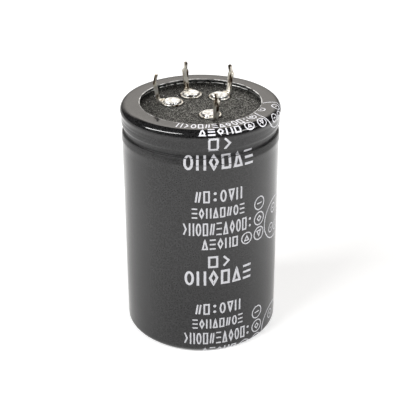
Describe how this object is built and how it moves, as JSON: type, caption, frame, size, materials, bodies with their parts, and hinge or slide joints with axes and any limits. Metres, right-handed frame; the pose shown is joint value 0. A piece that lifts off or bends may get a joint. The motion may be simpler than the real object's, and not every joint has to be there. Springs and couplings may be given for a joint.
{
  "type": "electrolytic capacitor",
  "caption": "Large can-type electrolytic capacitor in a dark shrink sleeve, with solder lugs riveted through a rubber-faced cover.",
  "frame": {"origin": "on the can's axis, in the plane of the sleeve's hem that the part stands on", "axes": "+Z along the can's axis towards the lugs; angles round it run anticlockwise from +X seen from above, and the single lug points near -Y"},
  "size_m": [0.0461, 0.046, 0.0785],
  "materials": {
    "sleeve_film": "heat-shrunk film, satin black",
    "can_aluminium": "drawn aluminium sheet",
    "cover_rubber": "matt moulded face",
    "cover_laminate": "brown phenolic laminate",
    "lug_tin": "tinned and slightly tarnished",
    "rivet_aluminium": "pressed bright aluminium",
    "foil_aluminium": "etched foil",
    "winding_paper": "paper soaked with electrolyte",
    "winding_tape": "amber film tape"
  },
  "bodies": {
    "root": {"sleeve": "sleeve_film", "can": "can_aluminium", "rubber_seal": "cover_rubber", "cover_board": "cover_laminate", "lug_1": "lug_tin", "lug_2": "lug_tin", "lug_3": "lug_tin", "lug_4": "lug_tin", "rivet_1": "rivet_aluminium", "rivet_2": "rivet_aluminium", "rivet_3": "rivet_aluminium", "rivet_4": "rivet_aluminium", "washer_1": "rivet_aluminium", "washer_2": "rivet_aluminium", "washer_3": "rivet_aluminium", "washer_4": "rivet_aluminium", "tab_1": "foil_aluminium", "tab_2": "foil_aluminium", "winding": "winding_paper", "winding_tape": "winding_tape"}
  },
  "joints": []
}
